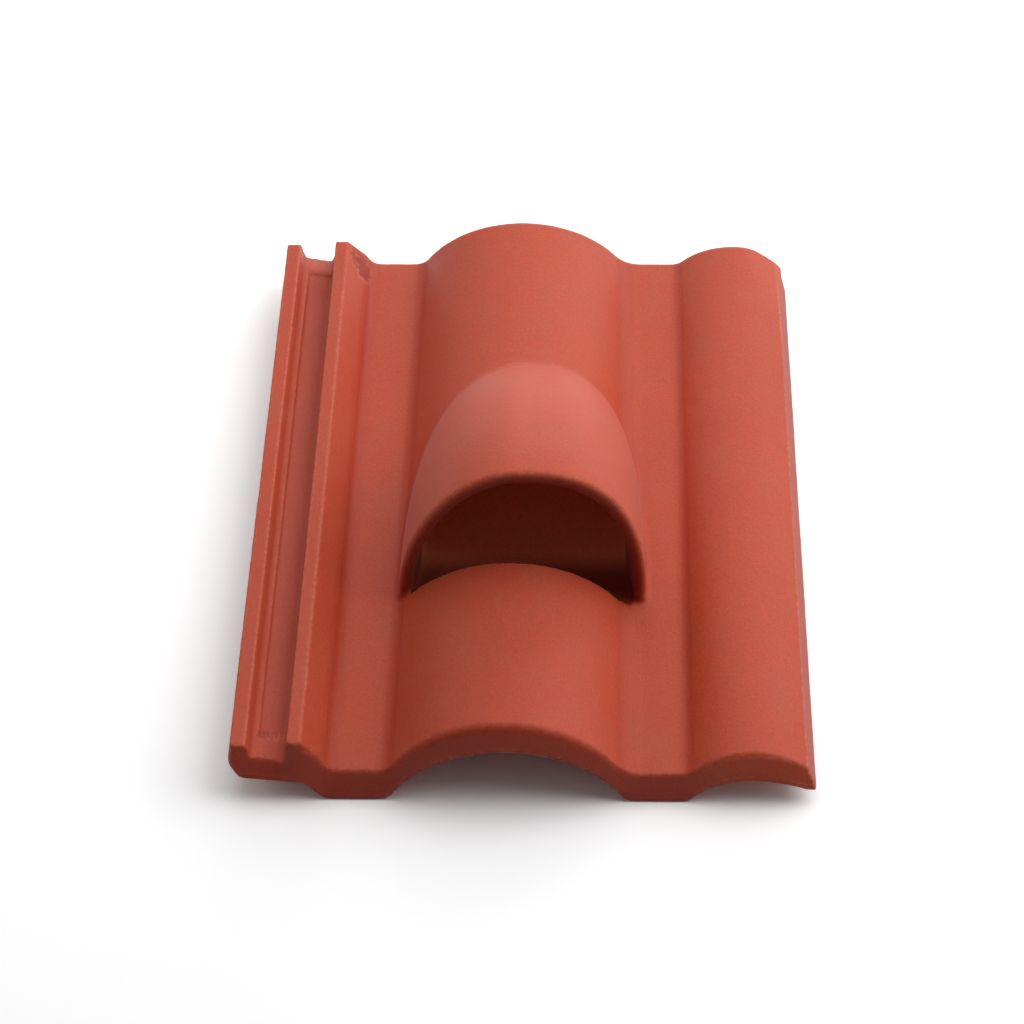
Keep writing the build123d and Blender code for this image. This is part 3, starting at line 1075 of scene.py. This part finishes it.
@dataclass
class Casting:
    """The whole tile as one casting: its parts melt into each other, so one field gives all.

    A part that joins the others by fillets of changing size has no grid of two parameters, so
    its surface is where a signed distance, worked out for whole arrays of places, is zero. The
    spans say where the masks of the material rise from 0 to 1, in mm, or in 1/mm for a bend.
    """

    body: TileBody
    channel: WaterChannel
    hood: Hood
    well: CableWell
    nibs: Nibs
    corner: CornerCut
    wear: Wear
    slope_step: float = 0.25
    bend_step: float = 1.2
    fold_step: float = 6.0
    rounds: int = 3
    longest_move: float = 1.0
    margin: float = 2.5
    arris_bend: Span = (0.05, 0.45)
    hollow_bend: Span = (0.03, 0.3)
    fold_bend: Span = (0.006, 0.06)
    fold_back: Span = (5.0, 100.0)
    fold_faded: float = 0.75
    fold_left: float = 0.35
    knock_loss: Span = (0.0, 0.6)
    pit_edge: Span = (-0.2, 0.8)
    skirt_band: Span = (-9.0, -6.5)
    skirt_highlight_gain: float = 1.2
    side_facing: Span = (0.8, 0.95)
    face_edge: Span = (-2.5, -0.6)
    face_right: Span = (88.0, 112.0)
    painted_hood_light_depth: Span = (0.2, 1.1)
    painted_hood_light_start: Span = (8.0, 36.0)
    mouth_reach: Span = (-40.0, -20.0)
    mouth_depth: Span = (0.8, 3.8)
    mouth_rise: Span = (1.0, 4.0)
    mouth_sill: Span = (0.5, 3.0)

    def skewed(self, p: Points) -> Points:
        """The same places in a tile whose left lap, which narrows to the eave, runs straight."""
        lap = 1.0 - smooth_step(p.x, self.body.rib_foot, self.body.pan_start)
        return p.moved(self.body.lap_skew * lap * p.y / self.body.head, 0.0, 0.0)

    def distance(self, p: Points) -> Array:
        """Signed distance to the casting before wear, negative inside the concrete."""
        p = self.skewed(p)
        solid = joined(self.body.solid(p), self.hood.outside(p), self.hood.fillet(p))
        solid = np.minimum(solid, self.well.sill_wall(p))
        solid = without(solid, self.well.space(p), self.well.rim(p))
        solid = without(solid, self.well.slot(p), self.well.slot_rim)
        for centre in self.nibs.centres():
            solid = np.minimum(solid, self.nibs.solid(p, centre))
        solid = without(solid, self.channel.gutter(p), self.channel.rim_radius)
        solid = without(solid, self.channel.scoop(p), self.channel.rim_radius)
        solid = solid + self.channel.dip(p)
        solid = without(solid, self.corner.bevel(p), self.corner.bevel_radius)
        return without(solid, self.corner.space(p), self.corner.rim)

    def worn(self, p: Points) -> Array:
        """Signed distance to the casting with its losses, never outside the clean one."""
        return self.distance(p) + self.wear.loss(p)

    def lattice(self) -> Lattice:
        """Nodes that lie close at the ribs, ends, edges and mouth, and wider between them.

        Each stretch is where it ends and the step wanted there, in mm. With them the mesh stays
        under 200,000 triangles.
        """
        body, edge = self.body, self.margin
        mouth = self.hood.mouth
        top = body.pan_level + self.hood.height + edge
        x = Lattice.graded(body.left - edge, (
            (body.pan_start + 3.0, 1.05), (body.corner_x - 10.0, 2.6), (body.right + edge, 1.1),
        ))
        y = Lattice.graded(body.eave - edge, (
            (body.eave + 22.0, 1.3), (mouth - 14.0, 6.0), (mouth + 15.0, 1.4),
            (mouth + self.hood.reach + 8.0, 3.8), (body.head - 26.0, 6.5), (body.head + edge, 1.35),
        ))
        z = Lattice.graded(-edge, ((body.inner_rib_top + 2.0, 1.25), (60.0, 1.7), (top, 2.5)))
        return Lattice(x, y, z)

    def slope(self, p: Points, step: float) -> tuple[Array, Array]:
        """Gradient and bend of the worn field at places, from central differences.

        Args:
            p: Places, as one-dimensional arrays.
            step: Distance to each side, in mm.

        Returns:
            The gradient as rows, and the sum of the second differences, which is the surface's
            curvature in 1/mm, positive where it stands out.
        """
        here = self.worn(p)
        parts, bend = [], -6.0 * here
        for x, y, z in np.eye(3) * step:
            ahead, behind = self.worn(p.moved(x, y, z)), self.worn(p.moved(-x, -y, -z))
            parts.append((ahead - behind) / (2 * step))
            bend = bend + ahead + behind
        return np.stack(parts, axis=1), bend / step ** 2

    def settled(self, net: NetMesh) -> NetMesh:
        """The net with its vertices brought down on the worn surface.

        Each round moves a vertex by −d·g/|g|² with the distance d and its gradient g.
        """
        points = net.points
        for _ in range(self.rounds):
            place = Points(*points.T)
            slope, _ = self.slope(place, self.slope_step)
            size = np.maximum((slope ** 2).sum(1), LEAST_SLOPE)
            move = np.clip(self.worn(place) / size, -self.longest_move, self.longest_move)
            points = points - slope * move[:, None]
        return NetMesh(points, net.quads)

    # Mask for painted shade: darker, redder colour in the wide folds, where shade falls.
    def fold(self, p: Points) -> Array:
        """Share from 0 to 1 of how deep a place lies in a wide fold of the section."""
        table, step = self.body.thin, self.fold_step
        bend = -4.0 * table.at(p.x, p.z)
        for x, z in ((step, 0.0), (-step, 0.0), (0.0, step), (0.0, -step)):
            bend = bend + table.at(p.x + x, p.z + z)
        body = self.body
        upper = smooth_step(p.z, body.underside + 1.0, body.pan_level - 1.0)
        lap = 1.0 - smooth_step(p.x, body.rib_right, body.pan_start + 4.0)
        near = lap * (1.0 - smooth_step(p.y - body.eave, *self.fold_back))
        left = blend(self.fold_left, 1.0, smooth_step(p.x, body.rib_left, body.rib_right))
        faded = (1.0 - self.fold_faded * near) * left
        return smooth_step(-bend / step ** 2, *self.fold_bend) * upper * faded

    # Mask for painted shade on the eave face, which faces away from the lights.
    def face(self, p: Points) -> Array:
        """Share from 0 to 1 of how far a place lies on the eave face, left of the small roll."""
        front = smooth_step(self.body.eave_plane(p), *self.face_edge)
        return front * (1.0 - smooth_step(p.x, *self.face_right))

    # Mask for painted light: a pale colour that brightens the shaded inside of the hood.
    def painted_hood_light(self, p: Points) -> Array:
        """Share from 0 to 1 of how far a place lies deep inside the hood."""
        depth = -self.hood.form(p, self.hood.wall / 2) / (self.hood.wall / 2 - 1.0)
        behind = smooth_step(-self.hood.mouth_plane(p), *self.painted_hood_light_start)
        return smooth_step(depth, *self.painted_hood_light_depth) * behind

    # Mask for painted shade just inside the mouth.
    def mouth(self, p: Points) -> Array:
        """Share from 0 to 1 of how far a place lies just inside the hood's mouth."""
        front = smooth_step(self.hood.mouth_plane(p), *self.mouth_reach)
        inner = smooth_step(-self.hood.form(p, 0.0), *self.mouth_depth)
        above = smooth_step(p.z - self.body.top(p.x), *self.mouth_rise)
        behind = smooth_step(p.y - self.well.front, *self.mouth_sill)
        return front * inner * np.maximum(above, behind)

    def masks(self, p: Points) -> dict[str, Array]:
        """Shares from 0 up that tell the material where to tint its coat and where to paint shade
        and light.

        Args:
            p: The mesh's vertices, in mm.

        Returns:
            One array for each name.
        """
        slope, bend = self.slope(p, self.bend_step)
        facing = slope[:, 0] / np.maximum(np.sqrt((slope ** 2).sum(1)), LEAST_SLOPE)
        skirt = smooth_step(p.x - self.body.right, *self.skirt_band)
        # The pit joins the knock's mask, which paints shade in it.
        pit = 1.0 - smooth_step(self.channel.scoop(p), *self.pit_edge)
        knock = np.maximum(smooth_step(self.wear.bruise(p), *self.knock_loss), pit)
        arris = smooth_step(bend, *self.arris_bend) * (1.0 - knock)
        return {
            # On the skirt the rubbed arris is raised into a painted highlight along its corner.
            "arris": arris * (1.0 + self.skirt_highlight_gain * skirt),
            # Painted shade on the skirt's outer face.
            "side": smooth_step(facing, *self.side_facing) * skirt,
            # Painted shade in tight inner corners.
            "hollow": smooth_step(-bend, *self.hollow_bend),
            "fold": self.fold(p),
            "face": self.face(p),
            "gutter": self.channel.inside(p),
            "knock": knock,
            "painted_hood_light": self.painted_hood_light(p),
            "mouth": self.mouth(p),
        }

    def build(self) -> bpy.types.Object:
        """Samples, nets and settles the casting, and puts it into a mesh with its masks.

        Returns:
            The finished object, at the origin, in metres.
        """
        lattice = self.lattice()
        values = self.distance(lattice.nodes())
        net = self.settled(surface_net(lattice, values))
        mesh = bpy.data.meshes.new("cast_tile")
        mesh.from_pydata((net.points * MM).tolist(), [], net.quads.tolist())
        mesh.shade_smooth()
        for name, mask in self.masks(Points(*net.points.T)).items():
            layer = mesh.attributes.new(name, "FLOAT", "POINT")
            layer.data.foreach_set("value", mask.astype(np.float32))
        mesh.validate()
        tile = bpy.data.objects.new("cast_tile", mesh)
        bpy.context.scene.collection.objects.link(tile)
        return tile


def linear(code: str) -> tuple[float, float, float, float]:
    """Linear colour of an sRGB hex code, by the sRGB curve."""
    parts = [int(code[i:i + 2], 16) / 255 for i in (1, 3, 5)]
    bent = [c / 12.92 if c <= 0.04045 else ((c + 0.055) / 1.055) ** 2.4 for c in parts]
    return (*bent, 1.0)


def add_node(tree: bpy.types.NodeTree, kind: str, links: dict | None = None,
             **settings: object) -> bpy.types.Node:
    """Adds a node, sets its properties, and fills its inputs.

    Args:
        tree: The node tree.
        kind: The node's type, such as ShaderNodeTexNoise.
        links: Input name or number to a value, or to the output socket that feeds it.
        **settings: Properties of the node.

    Returns:
        The new node.
    """
    node = tree.nodes.new(kind)
    for name, value in settings.items():
        setattr(node, name, value)
    for key, value in (links or {}).items():
        if isinstance(value, bpy.types.NodeSocket):
            tree.links.new(value, node.inputs[key])
        else:
            node.inputs[key].default_value = value
    return node


class Graph:
    """Short ways to add the shader nodes of one tree, each giving the node's output."""

    def __init__(self, tree: bpy.types.NodeTree) -> None:
        """Takes the tree that the nodes go into."""
        self.tree = tree

    def mixed(self, share: object, first: object, second: object) -> bpy.types.NodeSocket:
        """Mix of two colours by a share, each a value or a socket."""
        return add_node(self.tree, "ShaderNodeMix", {0: share, 6: first, 7: second},
                        data_type="RGBA", blend_type="MIX", clamp_factor=True).outputs[2]

    def ramp(self, value: object, span: Span, result: Span = (0.0, 1.0)) -> bpy.types.NodeSocket:
        """A value's stretch over a span, spread over the result's span and held there."""
        ends = {"From Min": span[0], "From Max": span[1], "To Min": result[0], "To Max": result[1]}
        return add_node(self.tree, "ShaderNodeMapRange", {"Value": value, **ends},
                        clamp=True).outputs["Result"]

    def math(self, operation: str, first: object, second: object) -> bpy.types.NodeSocket:
        """Result of an operation on two values, each a number or a socket."""
        return add_node(self.tree, "ShaderNodeMath", {0: first, 1: second},
                        operation=operation).outputs[0]

    def mask(self, name: str) -> bpy.types.NodeSocket:
        """A mask that the mesh carries."""
        return add_node(self.tree, "ShaderNodeAttribute", attribute_name=name).outputs["Fac"]

    def noise(self, where: object, size_mm: float, detail: float,
              roughness: float = 0.55) -> bpy.types.NodeSocket:
        """Noise whose features are about size_mm across, at the places given."""
        settings = {"Scale": 1.0 / (size_mm * MM), "Detail": detail, "Roughness": roughness}
        return add_node(self.tree, "ShaderNodeTexNoise",
                        {"Vector": where, **settings}).outputs["Fac"]


@dataclass(frozen=True)
class Tint:
    """Colour that the coat takes, by a strength, where a mask of the mesh is 1."""

    mask: str
    strength: float
    colour: str


@dataclass(frozen=True)
class PaintedConcrete:
    """Roof tile concrete, pressed in a mould, with a brick-red slurry coat.

    Sand grains of about a millimetre show through the coat as a fine bump. The coat is matt
    with a little sheen at a low angle and rubbed pale on the arrises. It has painted shade in the
    folds, creases, eave face, skirt side, pit and mouth, and painted light inside the hood and
    along the skirt's corner.
    """

    coat: str = "#b94427"
    coat_warm: str = "#be4626"
    coat_dusty: str = "#b64e34"
    # Rubbed arrises; along the skirt's corner it also serves as a painted highlight.
    worn: str = "#d47a60"
    tints: tuple[Tint, ...] = (
        Tint("fold", 0.4, "#a32c13"),        # painted shade in the folds beside the ribs and rolls: deeper red
        Tint("face", 0.55, "#9c2a0c"),       # painted shade on the eave face, which turns from the lights: deeper red
        Tint("hollow", 0.12, "#7a200a"),     # painted shade in tight inner corners: darker
        Tint("gutter", 0.5, "#b54a35"),      # the gutter's floor: dusty and greyer
        Tint("painted_hood_light", 1.0, "#ff9c74"),   # painted light deep in the hood: a pale colour that lifts the dark inside
        Tint("side", 0.5, "#96260c"),        # painted shade on the skirt's outer face: deeper red
        Tint("mouth", 0.78, "#7a200a"),      # painted shade just inside the mouth: dark brown
        Tint("knock", 0.8, "#8e1f0a"),       # the knock: dark, bruised; the pit: painted shade
    )
    patch_mm: float = 110.0
    patch_range: Span = (0.38, 0.62)
    blotch_mm: float = 34.0
    blotch_range: Span = (0.45, 0.7)
    dust: Span = (0.0, 0.5)
    sand_mm: float = 2.6
    grain_mm: float = 1.1
    rub_range: Span = (0.35, 0.65)
    rub: Span = (0.05, 0.35)
    speckle_range: Span = (0.3, 0.7)
    grain_speckle: Span = (0.9, 1.08)
    sand_speckle: Span = (0.95, 1.05)
    roughness: Span = (0.51, 0.59)
    ior: float = 1.4
    sheen: float = 0.12
    sheen_roughness: float = 0.35
    grain_height: float = 0.45
    sand_height: float = 0.55
    bump_strength: float = 0.55
    bump_mm: float = 0.35

    def build(self) -> bpy.types.Material:
        """Makes the material.

        Returns:
            The material, ready for the casting's slot.
        """
        material = bpy.data.materials.new("painted_concrete")
        material.use_nodes = True
        tree = material.node_tree
        shader = tree.nodes["Principled BSDF"]
        graph = Graph(tree)
        where = add_node(tree, "ShaderNodeTexCoord").outputs["Object"]
        patch = graph.noise(where, self.patch_mm, 2.0)
        blotch = graph.noise(where, self.blotch_mm, 3.0)
        sand = graph.noise(where, self.sand_mm, 2.0)
        grain = graph.noise(where, self.grain_mm, 1.0)

        colour = graph.mixed(graph.ramp(patch, self.patch_range), linear(self.coat),
                             linear(self.coat_warm))
        dusty = graph.ramp(blotch, self.blotch_range, self.dust)
        colour = graph.mixed(dusty, colour, linear(self.coat_dusty))
        rub = graph.ramp(sand, self.rub_range, self.rub)
        rubbed = graph.math("MULTIPLY", graph.mask("arris"), rub)
        colour = graph.mixed(rubbed, colour, linear(self.worn))
        for tint in self.tints:
            share = graph.math("MULTIPLY", graph.mask(tint.mask), tint.strength)
            colour = graph.mixed(share, colour, linear(tint.colour))
        speckle = graph.math("MULTIPLY",
                             graph.ramp(grain, self.speckle_range, self.grain_speckle),
                             graph.ramp(sand, self.speckle_range, self.sand_speckle))
        shaded = add_node(tree, "ShaderNodeVectorMath", {0: colour, "Scale": speckle},
                          operation="SCALE")
        rough = graph.ramp(sand, self.speckle_range, self.roughness)
        height = graph.math("ADD", graph.math("MULTIPLY", grain, self.grain_height),
                            graph.math("MULTIPLY", sand, self.sand_height))
        bump = add_node(tree, "ShaderNodeBump", {
            "Height": height, "Strength": self.bump_strength, "Distance": self.bump_mm * MM,
        })
        fed = {"Base Color": shaded.outputs[0], "Roughness": rough, "Normal": bump.outputs[0]}
        for name, socket in fed.items():
            tree.links.new(socket, shader.inputs[name])
        shader.inputs["IOR"].default_value = self.ior
        shader.inputs["Sheen Weight"].default_value = self.sheen
        shader.inputs["Sheen Roughness"].default_value = self.sheen_roughness
        return material


class Ground(Enum):
    """How the floor answers a ray: as the eye sees it, or as it lights the tile."""

    SEEN = "#ffffff"
    LIGHTING = "#b9b7b6"


@dataclass(frozen=True)
class Studio:
    """Pale floor, large soft boxes, most of them behind the tile, and a weak surround.

    A soft box is its name, elevation, azimuth, distance, diameter and power.
    """

    soft_boxes: tuple[tuple[str, float, float, float, float, float], ...] = (
        ("key_box", 52.0, 80.0, 1.6, 1.4, 11.1),
        ("back_box", 18.0, 15.0, 1.7, 1.6, 11.2),
        ("top_box", 75.0, 0.0, 1.6, 1.5, 7.8),
        ("right_box", 20.0, 50.0, 1.7, 1.5, 6.0),
        ("rim_box", 20.0, -20.0, 1.7, 1.5, 5.2),
        ("side_box", 20.0, 95.0, 1.6, 1.2, 3.1),
        ("left_box", 42.0, -45.0, 1.6, 1.5, 2.5),
        ("fill_box", 38.0, -95.0, 1.6, 1.3, 1.6),
    )
    surround: float = 0.113
    paper_gain: float = 1.3
    floor_size: float = 14.0
    floor_level: float = -0.0003

    def aim(self, elevation: float, azimuth: float) -> Vector:
        """Direction from the tile to a light; azimuth 0 is behind, and + is to the right."""
        up, side = math.radians(elevation), math.radians(azimuth)
        return Vector((math.sin(side) * math.cos(up), math.cos(side) * math.cos(up), math.sin(up)))

    def lamp(self, name: str, way: Vector, distance: float, size: float, power: float) -> None:
        """Adds a round area lamp that looks at the tile.

        Args:
            name: The lamp's name.
            way: Unit direction from the tile to the lamp.
            distance: How far away it stands, in metres.
            size: Its diameter, in metres.
            power: Its power, in watts.
        """
        data = bpy.data.lights.new(name, "AREA")
        data.shape = "DISK"
        data.size = size
        data.energy = power
        lamp = bpy.data.objects.new(name, data)
        lamp.location = way * distance
        lamp.rotation_euler = way.to_track_quat("Z", "Y").to_euler()
        bpy.context.scene.collection.objects.link(lamp)

    def split_by_ray(self, tree: bpy.types.NodeTree, rays: tuple[str, ...], hidden: object,
                     seen: object, output: str) -> None:
        """Feeds an output with one shader for some kinds of ray and with another for the rest.

        Args:
            tree: The node tree.
            rays: Outputs of the light path that tell the kinds of ray.
            hidden: Shader for all other rays.
            seen: Shader for the rays named.
            output: Type of the output node.
        """
        path = add_node(tree, "ShaderNodeLightPath")
        share = path.outputs[rays[0]]
        for name in rays[1:]:
            share = add_node(tree, "ShaderNodeMath", {0: share, 1: path.outputs[name]},
                             operation="ADD", use_clamp=True).outputs[0]
        both = add_node(tree, "ShaderNodeMixShader", {0: share, 1: hidden, 2: seen})
        add_node(tree, output, {"Surface": both.outputs[0]})

    def floor(self) -> bpy.types.Object:
        """Adds the floor, whiter to the eye than it is as a source of bounced light.

        Returns:
            The floor's object.
        """
        half = self.floor_size / 2
        mesh = bpy.data.meshes.new("floor")
        corners = [(x * half, y * half, self.floor_level)
                   for x, y in ((-1, -1), (1, -1), (1, 1), (-1, 1))]
        mesh.from_pydata(corners, [], [(0, 1, 2, 3)])
        floor = bpy.data.objects.new("floor", mesh)
        bpy.context.scene.collection.objects.link(floor)
        material = bpy.data.materials.new("floor_paper")
        material.use_nodes = True
        tree = material.node_tree
        tree.nodes.clear()
        bounce = add_node(tree, "ShaderNodeBsdfDiffuse", {"Color": linear(Ground.LIGHTING.value)})
        seen_colour = tuple(self.paper_gain * part for part in linear(Ground.SEEN.value)[:3])
        paper = add_node(tree, "ShaderNodeBsdfDiffuse", {"Color": (*seen_colour, 1.0)})
        self.split_by_ray(tree, ("Is Camera Ray", "Is Glossy Ray", "Is Transmission Ray"),
                          bounce.outputs[0], paper.outputs[0], "ShaderNodeOutputMaterial")
        mesh.materials.append(material)
        return floor

    def world(self) -> None:
        """Sets a weak white surround that the eye sees as plain white."""
        world = bpy.data.worlds.new("studio")
        world.use_nodes = True
        tree = world.node_tree
        tree.nodes.clear()
        soft, white = (
            add_node(tree, "ShaderNodeBackground",
                     {"Color": linear(Ground.SEEN.value), "Strength": strength}).outputs[0]
            for strength in (self.surround, 1.0)
        )
        self.split_by_ray(tree, ("Is Camera Ray",), soft, white, "ShaderNodeOutputWorld")
        bpy.context.scene.world = world

    def build(self) -> bpy.types.Object:
        """Adds lights, surround and floor, and returns the floor."""
        for name, elevation, azimuth, distance, size, power in self.soft_boxes:
            self.lamp(name, self.aim(elevation, azimuth), distance, size, power)
        self.world()
        return self.floor()


@dataclass(frozen=True)
class Viewpoint:
    """Camera of the picture: above the eave end, looking down along the tile.

    The place is in metres. Yaw is to the right of +Y, elevation is below level, and the picture
    is turned clockwise by the roll.
    """

    place: tuple[float, float, float] = (0.0457, -1.03828, 1.18443)
    yaw: float = -3.098
    elevation: float = 48.565
    roll: float = -2.084
    focal_px: float = 2572.0
    picture_px: float = 1024.0
    sensor_mm: float = 36.0

    def build(self) -> bpy.types.Object:
        """Adds the camera and makes it the scene's.

        Returns:
            The camera's object.
        """
        yaw, down, turn = (math.radians(a) for a in (self.yaw, self.elevation, self.roll))
        ahead = Vector((math.sin(yaw) * math.cos(down), math.cos(yaw) * math.cos(down),
                        -math.sin(down)))
        level = Vector((math.cos(yaw), -math.sin(yaw), 0.0))
        above = level.cross(ahead)
        right = math.cos(turn) * level + math.sin(turn) * above
        up = -math.sin(turn) * level + math.cos(turn) * above
        data = bpy.data.cameras.new("camera")
        data.sensor_width = self.sensor_mm
        data.lens = self.focal_px * self.sensor_mm / self.picture_px
        camera = bpy.data.objects.new("camera", data)
        turned = Matrix((right, up, -ahead)).transposed().to_4x4()
        camera.matrix_world = Matrix.Translation(self.place) @ turned
        bpy.context.scene.collection.objects.link(camera)
        bpy.context.scene.camera = camera
        return camera


def main() -> None:
    """Builds the tile, the studio and the camera, and reports each piece."""
    logging.basicConfig(level=logging.INFO, format="%(message)s")
    bpy.context.scene.view_settings.view_transform = "Standard"

    low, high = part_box(NODE)
    body = TileBody(length=round((high.y - low.y) / MM), width=round((high.x - low.x) / MM))
    channel = WaterChannel(body)
    hood = Hood(body)
    casting = Casting(body, channel, hood, CableWell(body, hood), Nibs(body), CornerCut(body),
                      Wear(body))
    tile = casting.build()
    tile.data.materials.append(PaintedConcrete().build())
    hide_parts(NODE)
    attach(tile, "root")
    log.info("cast_tile: %d vertices, %d faces", len(tile.data.vertices), len(tile.data.polygons))

    studio = Studio()
    studio.build()
    log.info("studio: floor, %d soft boxes and surround", len(studio.soft_boxes))
    Viewpoint().build()
    log.info("camera: at the picture's viewing angle")


if __name__ == "__main__":
    main()
